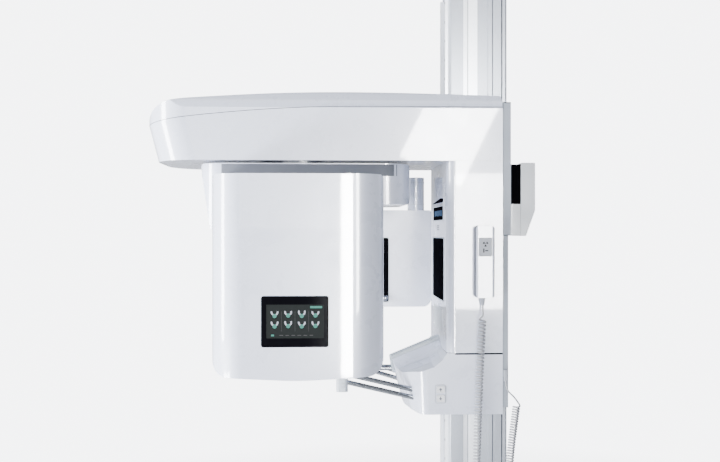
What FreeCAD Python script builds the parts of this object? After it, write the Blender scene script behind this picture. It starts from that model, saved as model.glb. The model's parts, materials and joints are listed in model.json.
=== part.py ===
"""Panoramic dental X-ray machine: a column with a wall bracket, a lifting carriage,
an overhead arm and a C-shaped rotor that carries the X-ray tube and the sensor.

Millimetres. +Z is up, +X points to the wall, and -Y is the operator's side.
The origin is the middle of the column's foot, on the floor.
"""

import FreeCAD
import Part
import math
import os

V = FreeCAD.Vector

# ---- driving dimensions ---------------------------------------------------------
COLUMN_HEIGHT = 2250.0
COLUMN_HALF_X = 88.0
COLUMN_HALF_Y = 80.0
COLUMN_WALL = 8.0
WALL_X = 170.0                # plane of the room's wall

HALF_WIDTH = 200.0            # arm and carriage, half their width in Y
FRONT_X = -112.0              # carriage face that the patient looks at
SIDE_END_X = 50.0             # where the side panels stop, beside the column
ARM_BOTTOM = 1704.0
ARM_SEAM = 1860.0
ARM_TOP = 1908.0
ARM_NOSE_X = -990.0
CARRIAGE_BOTTOM = 1146.0
LOWER_BOTTOM = 968.0
SHELL = 3.5                   # plastic wall thickness
GAP = 0.4                     # running gap between covers

AXIS_X = -540.0               # rotation axis of the tube and the sensor
HOUSING_HALF_X = 236.0
HOUSING_FACE_Y = -380.0
HOUSING_SPLIT_Y = -226.0
HOUSING_INNER_Y = -170.0
HOUSING_TOP = 1658.0
HOUSING_BOTTOM = 1103.0
BEAM_HEIGHT = 1330.0          # height of the X-ray fan's middle
SENSOR_FACE_Y = 190.0

NODES = {}


def keep(name, *shapes):
    """Store one node: a single solid, or a group of separate solids."""
    solids = [solid for shape in shapes for solid in shape.Solids]
    if not solids:
        raise ValueError("no solid in " + name)
    NODES[name] = solids[0] if len(solids) == 1 else Part.makeCompound(solids)


# ---- small shape helpers --------------------------------------------------------
def box(x0, x1, y0, y1, z0, z1):
    return Part.makeBox(x1 - x0, y1 - y0, z1 - z0, V(x0, y0, z0))


def cylinder(radius, start, end):
    start, end = V(*start), V(*end)
    return Part.makeCylinder(radius, (end - start).Length, start, end - start)


def tube(outer, inner, start, end):
    return cylinder(outer, start, end).cut(cylinder(inner, start, end))


def rounded_wire(corners, place):
    """Closed wire through (u, v, radius) corners, each rounded by its radius."""
    points = [V(u, v, 0) for u, v, _ in corners]
    radii = [radius for _, _, radius in corners]
    count = len(points)
    ends = []
    for i, point in enumerate(points):
        back = (points[i - 1] - point).normalize()
        ahead = (points[(i + 1) % count] - point).normalize()
        if radii[i] <= 0:
            ends.append((point, None, point))
            continue
        half = back.getAngle(ahead) / 2
        reach = radii[i] / math.tan(half)
        bisector = (back + ahead).normalize()
        middle = point + bisector * (radii[i] / math.sin(half) - radii[i])
        ends.append((point + back * reach, middle, point + ahead * reach))
    edges = []
    for i in range(count):
        start, middle, end = ends[i]
        following = ends[(i + 1) % count][0]
        if middle is not None:
            edges.append(Part.Arc(place(start), place(middle), place(end)).toShape())
        if (following - end).Length > 1e-6:
            edges.append(Part.LineSegment(place(end), place(following)).toShape())
    return Part.Wire(edges)


def prism_z(corners, z0, z1):
    wire = rounded_wire(corners, lambda p: V(p.x, p.y, z0))
    return Part.Face(wire).extrude(V(0, 0, z1 - z0))


def prism_y(corners, y0, y1):
    """Corners are (x, z, radius)."""
    wire = rounded_wire(corners, lambda p: V(p.x, y0, p.y))
    return Part.Face(wire).extrude(V(0, y1 - y0, 0))


def prism_x(corners, x0, x1):
    """Corners are (y, z, radius)."""
    wire = rounded_wire(corners, lambda p: V(x0, p.x, p.y))
    return Part.Face(wire).extrude(V(x1 - x0, 0, 0))


def rectangle(u0, u1, v0, v1, radius):
    return [(u0, v0, radius), (u1, v0, radius), (u1, v1, radius), (u0, v1, radius)]


def rounded_block(x0, x1, y0, y1, z0, z1, radius):
    return prism_z(rectangle(x0, x1, y0, y1, radius), z0, z1)


# ---- column ---------------------------------------------------------------------
SLOT_HALF = 22.0              # front slot that the lift bracket passes through


def build_column():
    x, y = COLUMN_HALF_X, COLUMN_HALF_Y
    wall = COLUMN_WALL
    base = 14.0
    body = rounded_block(-x, x, -y, y, base, COLUMN_HEIGHT, 6.0)
    body = body.cut(box(-x + wall, x - wall, -y + 18, y - 18, base, COLUMN_HEIGHT))
    body = body.cut(box(-x - 1, -x + wall + 1, -SLOT_HALF, SLOT_HALF, base, COLUMN_HEIGHT))
    for side in (-1, 1):
        # wide shallow recess, a deeper channel along its front edge, and two fine grooves
        for x0, x1, depth in ((-46, 30, 5), (-46, -31, 12), (42, 45, 3), (70, 74, 6)):
            ends = sorted((side * y, side * (y - depth)))
            body = body.cut(box(x0, x1, ends[0], ends[1], base, COLUMN_HEIGHT))
    keep("column_profile", body)

    cap = rounded_block(-x - 2, x + 2, -y - 2, y + 2, COLUMN_HEIGHT, COLUMN_HEIGHT + 6, 8.0)
    plug = box(-x + wall + 1, x - wall - 1, -y + 19, y - 19, COLUMN_HEIGHT - 14, COLUMN_HEIGHT)
    keep("column_cap", cap.fuse(plug).removeSplitter())

    foot = rounded_block(-130, 130, -130, 130, 0, base, 12.0)
    for sx in (-1, 1):
        for sy in (-1, 1):
            foot = foot.cut(cylinder(6.5, (sx * 105, sy * 105, -1), (sx * 105, sy * 105, base + 1)))
    keep("foot_plate", foot)

    rails = [box(-x - 10, -x, side * 52 - 7, side * 52 + 7, 480, 2230) for side in (-1, 1)]
    keep("lift_rails", *rails)


def build_lift():
    """Electric cylinder inside the column: a fixed tube and a rod that carries the carriage."""
    rod_x, rod_r = -20.0, 14.0
    barrel = tube(24, rod_r + 0.08, (rod_x, 0, 60), (rod_x, 0, 1100))
    gearbox = rounded_block(rod_x - 30, rod_x + 70, -32, 32, 14, 60, 8.0)
    keep("lift_cylinder", barrel.fuse(gearbox).removeSplitter())
    keep("lift_rod", cylinder(rod_r, (rod_x, 0, 700), (rod_x, 0, 1640)))


def build_wall_bracket():
    top, low, low_flat = 1707.0, 1485.0, 1563.0
    face_x = 126.0
    corners = [(face_x, low, 2), (142, low, 2), (WALL_X, low_flat, 2),
               (WALL_X, top, 4), (face_x, top, 4)]
    body = prism_y(corners, -100, 100)
    stem = box(COLUMN_HALF_X, face_x + 1, -58, 58, low + 20, top - 20)
    stem = stem.cut(box(COLUMN_HALF_X + 8, face_x - 6, -50, 50, low + 10, top - 10))
    neck_x, neck_top = 92.0, 1581.6
    neck = box(neck_x, face_x + 1, -97, 97, low + 2, neck_top)
    neck = neck.cut(box(neck_x - 1, face_x - 6, -90, 90, low + 9, neck_top - 7))
    body = body.fuse([stem, neck]).removeSplitter()
    for sy in (-1, 1):
        for z in (1590.0, 1680.0):
            body = body.cut(cylinder(5.5, (face_x - 1, sy * 80, z), (WALL_X + 1, sy * 80, z)))
            body = body.cut(cylinder(11, (face_x - 1, sy * 80, z), (face_x + 30, sy * 80, z)))
    keep("wall_bracket", body)
    covers = []
    for side in (-1, 1):
        ends = sorted((side * 60, side * 99))
        covers.append(box(neck_x, face_x, ends[0], ends[1], neck_top + GAP, top - 5))
    keep("bracket_covers", *covers)


# ---- carriage -------------------------------------------------------------------
def build_carriage_frame():
    front = box(-108, -98.8, -150, 150, 1170, 1690)
    cheeks = [box(-98, 40, side * 125 - 4, side * 125 + 4, 1170, 1690) for side in (-1, 1)]
    frame = front.fuse(cheeks)
    # ledge that the arm's spine is bolted to
    for side in (-1, 1):
        ends = sorted((side * 129, side * 180))
        frame = frame.fuse(box(-98, 40, ends[0], ends[1], 1682, 1690))
    frame = frame.fuse(box(-98, 2, -15, 15, 1640, 1664))
    # two guide blocks on each rail
    for side in (-1, 1):
        for z in (1200.0, 1600.0):
            low, high = side * 52 - 16, side * 52 + 16
            block = box(-99, -COLUMN_HALF_X - 1, low, high, z, z + 70)
            groove = box(-COLUMN_HALF_X - 10.4, -COLUMN_HALF_X, low + 8.6, high - 8.6, z - 1, z + 71)
            frame = frame.fuse(block.cut(groove))
    keep("carriage_frame", frame.removeSplitter())


def carriage_section(inset, z0, z1):
    """Carriage outline: rounded corners towards the patient, square ends at the wall side."""
    y = HALF_WIDTH - inset
    x0 = FRONT_X + inset
    radius = 24.0 - inset
    corners = [(x0, -y, radius), (SIDE_END_X, -y, 0), (SIDE_END_X, y, 0), (x0, y, radius)]
    return prism_z(corners, z0, z1)


WINDOWS = {
    # name: (half width, low z, high z) of what is let into the carriage's face
    "status_display": (110.0, 1534.0, 1575.0),
    "face_mirror": (125.0, 1291.0, 1478.0),
}


def build_carriage_cover():
    top = ARM_BOTTOM - GAP
    cover = carriage_section(0, CARRIAGE_BOTTOM, top)
    cover = cover.cut(carriage_section(SHELL, CARRIAGE_BOTTOM - 1, top - SHELL))
    roof_hole = box(-99, SIDE_END_X + 1, -190, 190, top - 30, top + 1)
    cover = cover.cut(roof_hole)
    for half, low, high in WINDOWS.values():
        pocket = prism_x(rectangle(-half, half, low, high, 6.0), FRONT_X - 1, FRONT_X + 1.8)
        cover = cover.cut(pocket)
    keep("carriage_cover", cover)
    for name, (half, low, high) in WINDOWS.items():
        plate = rectangle(-half + 0.2, half - 0.2, low + 0.2, high - 0.2, 5.8)
        keep(name, prism_x(plate, FRONT_X, FRONT_X + 1.8))


def build_rear_covers():
    """Two-part trim that closes the carriage beside the column, open for the wall bracket."""
    shells = []
    for x1, z0, z1 in ((74.0, 1488.0, 1875.0), (66.0, 987.0, 1488.0 - GAP)):
        for side in (-1, 1):
            ends = sorted((side * 88, side * (HALF_WIDTH - 1)))
            inner = sorted((side * 84, side * (HALF_WIDTH - 1 - SHELL)))
            shell = box(SIDE_END_X + GAP, x1, ends[0], ends[1], z0, z1)
            hollow = box(SIDE_END_X, x1 - SHELL, inner[0], inner[1], z0 + SHELL, z1 - SHELL)
            shells.append(shell.cut(hollow))
    keep("rear_trims", *shells)


# ---- lower body with the chin ridge and grips ----------------------------------
RIDGE_TOP_Z = 1163.0          # where the ridge meets the carriage's face
RIDGE_HALF = 24.0
RIDGE_SLOPE = 0.41            # the ridge sinks this much for each millimetre towards the patient
BLOCK_TIP_LOW = -222.0
BLOCK_TIP_HIGH = -282.0
BLOCK_LOFT_TOP = 1190.0
# distance from the middle, then heights at the carriage's face, 14 and 38 mm in front of it, and
# at the far end of the slope: the flanks curve up to meet the carriage
FLANKS = ((0.0, 1163.0, 1157.3, 1147.4, 1086.0), (24.0, 1163.0, 1157.3, 1147.4, 1086.0),
          (78.0, 1148.0, 1134.0, 1119.0, 1064.0), (130.0, 1145.0, 1128.0, 1110.0, 1056.0),
          (206.0, 1145.0, 1125.0, 1105.0, 1052.0))
FLANK_STEPS = (0.0, 14.0, 38.0)
SLOPE_END_X = -300.0
ABOVE_ALL_Z = 1300.0


def block_outline(tip_x, inset):
    y = HALF_WIDTH - inset
    x1 = SIDE_END_X
    x0 = tip_x + inset
    corner = 30.0 - inset
    half = [(x1, -y, 0), (-188.0, -y, corner), (x0 + 14, -122, corner + 12), (x0, -36, corner)]
    return half + [(x, -v, radius) for x, v, radius in reversed(half)]


def above_flanks(drop):
    """Everything above the ridge and the two hollow flanks in front of the carriage."""
    back = FRONT_X - GAP
    stations = [back - step for step in FLANK_STEPS] + [SLOPE_END_X]
    sections = [(-flank[0], flank[1:]) for flank in reversed(FLANKS[1:])]
    sections += [(flank[0], flank[1:]) for flank in FLANKS]
    wires = []
    for y, heights in sections:
        corners = [V(x, y, z - drop) for x, z in zip(stations, heights)]
        corners += [V(SLOPE_END_X, y, ABOVE_ALL_Z), V(back, y, ABOVE_ALL_Z), corners[0]]
        wires.append(Part.makePolygon(corners))
    return Part.makeLoft(wires, True, True)


def lower_block(inset):
    """Blunt block round the column, with a ridge in front that rises to the carriage's face."""
    wires = []
    for tip, z in ((BLOCK_TIP_LOW, LOWER_BOTTOM + inset), (BLOCK_TIP_HIGH, BLOCK_LOFT_TOP)):
        wires.append(rounded_wire(block_outline(tip, inset), lambda p, z=z: V(p.x, p.y, z)))
    body = Part.makeLoft(wires, True, True)
    under_carriage = box(FRONT_X - GAP + inset, SIDE_END_X + 1, -HALF_WIDTH - 1, HALF_WIDTH + 1,
                         CARRIAGE_BOTTOM - GAP - inset, BLOCK_LOFT_TOP + 1)
    return body.cut(under_carriage).cut(above_flanks(inset))


BUTTON_X = -132.0
BUTTONS = {"lift_up_button": 1041.0, "lift_down_button": 1015.0}
PIPE_R = 7.0
GRIP_Y = 186.0
GRIP_PIPE_HEIGHTS = (1062.0, 1085.0)   # at the patient's end
CHIN_BAR_Z = 1074.0


def build_lower_body():
    body = lower_block(0).cut(lower_block(SHELL))
    column_way = box(-COLUMN_HALF_X - 12, SIDE_END_X + 1, -COLUMN_HALF_Y - 6, COLUMN_HALF_Y + 6,
                     LOWER_BOTTOM - 1, CARRIAGE_BOTTOM + 1)
    body = body.cut(column_way)
    open_back = box(SIDE_END_X - 6, SIDE_END_X + 1, -HALF_WIDTH + SHELL, HALF_WIDTH - SHELL,
                    LOWER_BOTTOM + SHELL, CARRIAGE_BOTTOM)
    body = body.cut(open_back)
    for z in BUTTONS.values():
        hole = rectangle(BUTTON_X - 12.4, BUTTON_X + 12.4, z - 10.4, z + 10.4, 4.4)
        body = body.cut(prism_y(hole, -HALF_WIDTH - 1, -HALF_WIDTH + SHELL + 1))
    for side in (-1, 1):
        for z in GRIP_PIPE_HEIGHTS:
            start, end = grip_line(side, z)
            body = body.cut(cylinder(PIPE_R + 0.05, start, end))
    bar_ways = [cylinder(PIPE_R + 0.05, (-330, y, CHIN_BAR_Z), (-205, y, CHIN_BAR_Z)) for y in (-14, 14)]
    keep("lower_body", body.cut(bar_ways))
    for name, z in BUTTONS.items():
        cap = rectangle(BUTTON_X - 12, BUTTON_X + 12, z - 10, z + 10, 4.0)
        keep(name, prism_y(cap, -HALF_WIDTH - 2.5, -HALF_WIDTH + 6))

    # soft strip along the ridge, folded down over the block's tip
    pad_x0, pad_x1 = -265.0, FRONT_X - GAP
    low = RIDGE_TOP_Z + GAP
    tip = low - RIDGE_SLOPE * (pad_x1 - pad_x0)
    lean = (BLOCK_TIP_HIGH - BLOCK_TIP_LOW) / (BLOCK_LOFT_TOP - LOWER_BOTTOM)
    fold_z = 1061.0
    fold_x = BLOCK_TIP_LOW - GAP + lean * (fold_z - LOWER_BOTTOM)
    edge_z = (low - RIDGE_SLOPE * (pad_x1 - fold_x + lean * fold_z)) / (1 - RIDGE_SLOPE * lean)
    edge_x = fold_x + lean * (edge_z - fold_z)
    strip = [(pad_x1, low, 0), (pad_x1, low + 10, 0), (pad_x0, tip + 10, 6), (fold_x - 9, fold_z, 3),
             (fold_x, fold_z, 0), (edge_x, edge_z, 0)]
    keep("chin_ridge_pad", prism_y(strip, -RIDGE_HALF, RIDGE_HALF).cut(bar_ways))


def grip_line(side, z):
    """The grips leave the lower body towards the patient and rise a little."""
    start = (-150.0, side * 135.0, z - 69.0)
    end = (-404.0, side * GRIP_Y, z)
    return start, end


def build_grips():
    pipes = []
    caps = []
    for side in (-1, 1):
        pair = [cylinder(PIPE_R, *grip_line(side, z)) for z in GRIP_PIPE_HEIGHTS]
        z0 = GRIP_PIPE_HEIGHTS[0] - 27
        z1 = GRIP_PIPE_HEIGHTS[1] + 13
        cap = rounded_block(-434, -400, side * GRIP_Y - 13, side * GRIP_Y + 13, z0, z1, 10.0)
        caps.append(cap.cut(pair[0]).cut(pair[1]))
        pipes.extend(pair)
    keep("grip_pipes", *pipes)
    keep("grip_ends", *caps)


def build_chin_rest():
    bar_end = -425.0
    bars = [cylinder(PIPE_R, (bar_end, y, CHIN_BAR_Z), (-205, y, CHIN_BAR_Z)) for y in (-14, 14)]
    block = rounded_block(-452, -412, -28, 28, CHIN_BAR_Z - 16, CHIN_BAR_Z + 16, 8.0)
    support = block.fuse(bars).removeSplitter()
    keep("chin_rest_support", support.cut(cylinder(6.06, (-440, 0, 1040), (-440, 0, 1100))))
    cup = rounded_block(-466, -414, -32, 32, 1150, 1166, 12.0)
    cup = cup.fuse(cylinder(6, (-440, 0, CHIN_BAR_Z - 14), (-440, 0, 1150)))
    cup = cup.cut(cylinder(40, (-480, 0, 1196), (-400, 0, 1196)))
    cup = cup.cut(cylinder(4.05, (-430, 0, 1140), (-430, 0, 1190)))
    keep("chin_cup", cup)
    bite = cylinder(4, (-430, 0, 1152), (-430, 0, 1192))
    bite = bite.fuse(rounded_block(-452, -424, -9, 9, 1192, 1198, 4.0)).removeSplitter()
    keep("bite_block", bite)


# ---- positioning-light panel beside the patient's head -------------------------
PANEL_X0, PANEL_X1 = -285.0, -108.0
PANEL_Y0, PANEL_Y1 = 203.0, 245.0
PANEL_Z0, PANEL_Z1 = 1245.0, 1570.0
SLOT_X0, SLOT_X1 = -276.0, -252.0
LIGHT_Z = 1276.0


def build_light_panel():
    outline = [(PANEL_X0, PANEL_Z0, 8), (PANEL_X1, PANEL_Z0, 28), (PANEL_X1, PANEL_Z1, 8),
               (PANEL_X0, PANEL_Z1, 8)]
    body = prism_y(outline, PANEL_Y0, PANEL_Y1)
    inner = rectangle(PANEL_X0 + SHELL, PANEL_X1 - SHELL, PANEL_Z0 + SHELL, PANEL_Z1 - SHELL, 6)
    front = body.cut(prism_y(inner, PANEL_Y0 + SHELL, PANEL_Y1 + 1))
    slot = prism_y(rectangle(SLOT_X0, SLOT_X1, 1262, 1477, 6), PANEL_Y0 - 1, PANEL_Y0 + SHELL + 1)
    inset = rectangle(PANEL_X0 + 3, PANEL_X1 - 3, PANEL_Z0 + 3, PANEL_Z1 - 3, 5)
    inset[1] = (PANEL_X1 - 3, PANEL_Z0 + 3, 25)
    body = front.cut(slot).fuse(prism_y(inset, PANEL_Y1 - 4, PANEL_Y1))
    post_x, post_y = -158.0, 224.0
    post = cylinder(28, (post_x, post_y, PANEL_Z1 - 1), (post_x, post_y, 1680))
    arm = box(PANEL_X1 - 2, -40, 206, 216, 1340, 1440)
    foot = box(-60, -40, HALF_WIDTH, 206, 1340, 1440)
    body = body.fuse([post, arm, foot]).removeSplitter()
    keep("light_panel", body)
    module = rounded_block(-280, -230, 212, 238, LIGHT_Z - 13, LIGHT_Z + 13, 3.0)
    module = module.cut(cylinder(3.5, (-264, 211, LIGHT_Z), (-264, 220, LIGHT_Z)))
    keep("level_light", module)
    knob = cylinder(3.5, (-264, 196, LIGHT_Z), (-264, 220, LIGHT_Z))
    ball = Part.makeSphere(10, V(-264, 192, LIGHT_Z))
    keep("level_light_knob", knob.fuse(ball).removeSplitter())


# ---- arm ------------------------------------------------------------------------
NOSE_BELOW = -962.0


def arm_outline(nose_x, inset):
    y = HALF_WIDTH - inset
    radius = 125.0 - inset
    end = SIDE_END_X - (inset if inset else 0)
    return [(end, -y, 0), (end, y, 0), (nose_x + inset, y, radius), (nose_x + inset, -y, radius)]


def arm_hull(inset):
    """Outer shape of the whole arm, or the same shape shrunk by inset."""
    wires = []
    for nose, z in ((NOSE_BELOW, ARM_BOTTOM + inset), (ARM_NOSE_X, 1812.0)):
        wires.append(rounded_wire(arm_outline(nose, inset), lambda p, z=z: V(p.x, p.y, z)))
    low = Part.makeLoft(wires, True, True)
    high = prism_z(arm_outline(ARM_NOSE_X, inset), 1812.0, ARM_TOP + 10)
    body = low.fuse(high).removeSplitter()
    top = ARM_TOP - inset
    side = Part.BSplineCurve()
    side.interpolate([V(ARM_NOSE_X - 3 + inset, -300, 1808), V(-975 + inset, -300, 1846 - inset),
                      V(-925, -300, 1874 - inset), V(-840, -300, 1887 - inset),
                      V(-690, -300, 1898 - inset), V(-450, -300, top),
                      V(-150, -300, 1904 - inset), V(SIDE_END_X + 5, -300, 1897 - inset)])
    first, last = side.StartPoint, side.EndPoint
    ring = [side.toShape(), Part.makeLine(last, V(last.x, -300, 1600)),
            Part.makeLine(V(last.x, -300, 1600), V(first.x, -300, 1600)),
            Part.makeLine(V(first.x, -300, 1600), first)]
    under = Part.Face(Part.Wire(ring)).extrude(V(0, 600, 0))
    body = body.common(under)
    y = HALF_WIDTH - inset
    edge = 46.0
    section = [(-y - 1, 1600, 0), (y + 1, 1600, 0), (y + 1, ARM_SEAM - 4, 0), (y, ARM_SEAM - 4, 0),
               (y - 8, ARM_SEAM + 16 - inset, 30), (y - edge, top + 4, 60), (-y + edge, top + 4, 60),
               (-y + 8, ARM_SEAM + 16 - inset, 30), (-y, ARM_SEAM - 4, 0), (-y - 1, ARM_SEAM - 4, 0)]
    return body.common(prism_x(section, -1100, 100))


def seam_block(offset):
    """Everything below the parting line between the arm's tray and its lid."""
    line = Part.BSplineCurve()
    line.interpolate([V(-1010, -300, 1806 + offset), V(-955, -300, 1817 + offset),
                      V(-820, -300, 1834 + offset), V(-655, -300, 1849 + offset),
                      V(-480, -300, 1858 + offset), V(-300, -300, ARM_SEAM + offset),
                      V(80, -300, ARM_SEAM + offset)])
    first, last = line.StartPoint, line.EndPoint
    ring = [line.toShape(), Part.makeLine(last, V(last.x, -300, 1600)),
            Part.makeLine(V(last.x, -300, 1600), V(first.x, -300, 1600)),
            Part.makeLine(V(first.x, -300, 1600), first)]
    return Part.Face(Part.Wire(ring)).extrude(V(0, 600, 0))


STAGE_TRAVEL = 60.0           # the rotation axis can move this far away from the column
HUB_R = 62.0


def stadium(x0, x1, radius, z0, z1):
    corners = rectangle(x0 - radius, x1 + radius, -radius, radius, radius - 0.01)
    return prism_z(corners, z0, z1)


def build_arm():
    outer = arm_hull(0)
    inner = arm_hull(SHELL)
    back_open = box(SIDE_END_X - SHELL - 1, SIDE_END_X + 1, -150, 150, ARM_BOTTOM + 10, 1880)
    column_way = box(-COLUMN_HALF_X - 12, SIDE_END_X + 1, -COLUMN_HALF_Y - 6, COLUMN_HALF_Y + 6,
                     1600, 2000)
    shell = outer.cut(inner).cut(back_open).cut(column_way)
    tray = shell.common(seam_block(0))
    way = stadium(AXIS_X - STAGE_TRAVEL, AXIS_X, HUB_R + 4, ARM_BOTTOM - 1, ARM_BOTTOM + 6)
    tray = tray.cut(way)
    tray = tray.cut(box(-100, SIDE_END_X + 1, -185, 185, ARM_BOTTOM - 1, ARM_BOTTOM + 6))
    keep("arm_tray", tray)
    lid = shell.cut(seam_block(GAP))
    keep("arm_lid", lid)

    spine = []
    for side in (-1, 1):
        ends = sorted((side * 150, side * 156))
        spine.append(box(-860, 44, ends[0], ends[1], ARM_BOTTOM + 12, 1800))
    spine.append(box(-860, -830, -150, 150, 1760, 1800))
    spine.append(box(-140, -100, -150, 150, 1720, 1800))
    # toothed strip for the stage's pinion, on a web from the spine
    spine.append(box(-800, -560, -92, -82.5, 1714, 1728))
    spine.append(box(-800, -560, -151, -91, 1716, 1720))
    joined = spine[0].fuse(spine[1:]).removeSplitter()
    keep("arm_spine", joined)


def build_stage():
    """Sliding stage in the arm: rails, plate, drive motors and the slewing bearing."""
    rails = [cylinder(8, (-830, side * 118, 1740), (-140, side * 118, 1740)) for side in (-1, 1)]
    keep("stage_rails", *rails)
    plate = box(AXIS_X - 120, AXIS_X + 120, -140, 140, 1752, 1762)
    for side in (-1, 1):
        plate = plate.fuse(box(AXIS_X - 110, AXIS_X + 110, side * 118 - 16, side * 118 + 16, 1728, 1752))
    for side in (-1, 1):
        plate = plate.cut(cylinder(8.06, (-900, side * 118, 1740), (0, side * 118, 1740)))
    plate = plate.cut(cylinder(78, (AXIS_X, 0, 1740), (AXIS_X, 0, 1770)))
    plate = plate.cut(cylinder(7, (AXIS_X - 105, 60, 1740), (AXIS_X - 105, 60, 1770)))
    plate = plate.cut(cylinder(9, (AXIS_X - 90, -70, 1740), (AXIS_X - 90, -70, 1770)))
    ring = tube(92, 78, (AXIS_X, 0, 1730), (AXIS_X, 0, 1753))
    keep("stage_plate", plate.fuse(ring).removeSplitter())
    turn = rounded_block(AXIS_X - 133, AXIS_X - 77, 32, 88, 1762, 1812, 6.0)
    shift = rounded_block(AXIS_X - 118, AXIS_X - 62, -98, -42, 1762, 1812, 6.0)
    keep("stage_motors", turn, shift)


MOTOR_PULLEY = (AXIS_X - 105.0, 60.0)
ROTOR_PULLEY_R = 70.0
MOTOR_PULLEY_R = 14.0


def belt_loop(inner_gap, thickness, z0, z1):
    """Flat belt round the two pulleys, with straight tangent runs."""
    ax, ay = AXIS_X, 0.0
    bx, by = MOTOR_PULLEY
    distance = math.hypot(bx - ax, by - ay)
    heading = math.atan2(by - ay, bx - ax)

    def outline(extra):
        big, small = ROTOR_PULLEY_R + extra, MOTOR_PULLEY_R + extra
        lean = math.acos((big - small) / distance)
        points = []
        for sign in (1, -1):
            angle = heading + sign * lean
            points.append((V(ax + big * math.cos(angle), ay + big * math.sin(angle), z0),
                           V(bx + small * math.cos(angle), by + small * math.sin(angle), z0)))
        (big_up, small_up), (big_down, small_down) = points
        far_big = V(ax - big * math.cos(heading), ay - big * math.sin(heading), z0)
        far_small = V(bx + small * math.cos(heading), by + small * math.sin(heading), z0)
        edges = [Part.LineSegment(big_up, small_up).toShape(),
                 Part.Arc(small_up, far_small, small_down).toShape(),
                 Part.LineSegment(small_down, big_down).toShape(),
                 Part.Arc(big_down, far_big, big_up).toShape()]
        return Part.Face(Part.Wire(edges))

    outside = outline(inner_gap + thickness).extrude(V(0, 0, z1 - z0))
    return outside.cut(outline(inner_gap).extrude(V(0, 0, z1 - z0)))


def build_drive():
    bx, by = MOTOR_PULLEY
    pulley = cylinder(MOTOR_PULLEY_R, (bx, by, 1712), (bx, by, 1726))
    pulley = pulley.fuse(cylinder(5, (bx, by, 1726), (bx, by, 1761.6)))
    keep("motor_pulley", pulley.removeSplitter())
    keep("turn_belt", belt_loop(0.3, 2.0, 1713, 1725))
    pinion = cylinder(12, (AXIS_X - 90, -70, 1714), (AXIS_X - 90, -70, 1728))
    pinion = pinion.fuse(cylinder(4, (AXIS_X - 90, -70, 1728), (AXIS_X - 90, -70, 1761.6)))
    keep("stage_pinion", pinion.removeSplitter())


# ---- rotor ----------------------------------------------------------------------
BEAM_HALF_X = 60.0
BEAM_SENSOR_Z = 1640.0        # underside of the beam at the sensor's end
BEAM_TUBE_Z = 1594.0          # underside and top of the beam's step into the tube housing
BEAM_TUBE_TOP = 1650.0


def build_rotor_core():
    hub = cylinder(HUB_R, (AXIS_X, 0, 1690), (AXIS_X, 0, 1752))
    hub = hub.fuse(cylinder(ROTOR_PULLEY_R, (AXIS_X, 0, 1711), (AXIS_X, 0, 1727)))
    hub = hub.fuse(cylinder(77.6, (AXIS_X, 0, 1730), (AXIS_X, 0, 1750)))
    hub = hub.cut(cylinder(40, (AXIS_X, 0, 1680), (AXIS_X, 0, 1760)))
    keep("rotor_hub", hub.removeSplitter())
    x0, x1 = AXIS_X - BEAM_HALF_X, AXIS_X + BEAM_HALF_X
    beam = box(x0, x1, -150, 250, BEAM_SENSOR_Z, 1689.8)
    beam = beam.fuse(box(x0, x1, -300, -120, BEAM_TUBE_Z, BEAM_TUBE_TOP))
    beam = beam.cut(box(x0 + 6, x1 - 6, -144, 244, BEAM_SENSOR_Z + 6, 1684))
    beam = beam.cut(box(x0 + 6, x1 - 6, -294, -126, BEAM_TUBE_Z + 6, BEAM_TUBE_TOP - 6))
    beam = beam.cut(cylinder(38, (AXIS_X, 0, 1680), (AXIS_X, 0, 1700)))
    hanger = box(AXIS_X - 50, AXIS_X + 50, -298, -286, 1500, BEAM_TUBE_Z + 2)
    keep("rotor_beam", beam.fuse(hanger).removeSplitter())
    x0, x1 = -835.0, -212.0
    profile = [(x0, 1698, 10), (-800, 1502, 12), (-772, 1502, 12), (-690, 1578, 40),
               (x1, 1578, 14), (x1, 1698, 10)]
    cover = prism_y(profile, -168, 168)
    cover = cover.common(prism_z(rectangle(x0 - 1, x1 + 1, -168, 168, 80), 1490, 1710))
    hollow = [(x0 + 6, 1694, 8), (-794, 1510, 8), (-778, 1510, 8), (-690, 1583, 38),
              (x1 - 5, 1583, 10), (x1 - 5, 1694, 8)]
    inside = prism_y(hollow, -164, 164)
    inside = inside.common(prism_z(rectangle(x0 + 4, x1 - 4, -164, 164, 76), 1490, 1710))
    cover = cover.cut(inside)
    cover = cover.cut(cylinder(HUB_R + 2, (AXIS_X, 0, 1685), (AXIS_X, 0, 1705)))
    half = BEAM_HALF_X + 1
    for y0, y1, z0, z1 in ((0, 170, BEAM_SENSOR_Z - 1, 1691),
                           (-170, 0, BEAM_TUBE_Z - 1, BEAM_TUBE_TOP + 1)):
        cover = cover.cut(box(AXIS_X - half, AXIS_X + half, y0, y1, z0, z1))
    keep("rotor_cover", cover)


def housing_solid(inset):
    x0 = AXIS_X - HOUSING_HALF_X + inset
    x1 = AXIS_X + HOUSING_HALF_X - inset
    face, inner = HOUSING_FACE_Y + inset, HOUSING_INNER_Y - inset
    plan = [(x0, face, 88 - inset), (x1, face, 88 - inset), (x1, inner, 14 - inset),
            (x0, inner, 14 - inset)]
    body = prism_z(plan, 1050, 1700)
    low, high = HOUSING_BOTTOM + inset, HOUSING_TOP - inset
    bulge = 8.0
    front = [(x0, low + bulge, 46), (AXIS_X, low - bulge / 2, 900), (x1, low + bulge, 46),
             (x1, high - 4, 12), (x0, high - 4, 12)]
    return body.common(prism_y(front, -400, -100))


SCREEN_X0, SCREEN_X1 = -637.0, -457.0
SCREEN_Z0, SCREEN_Z1 = 1190.0, 1327.0


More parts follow.
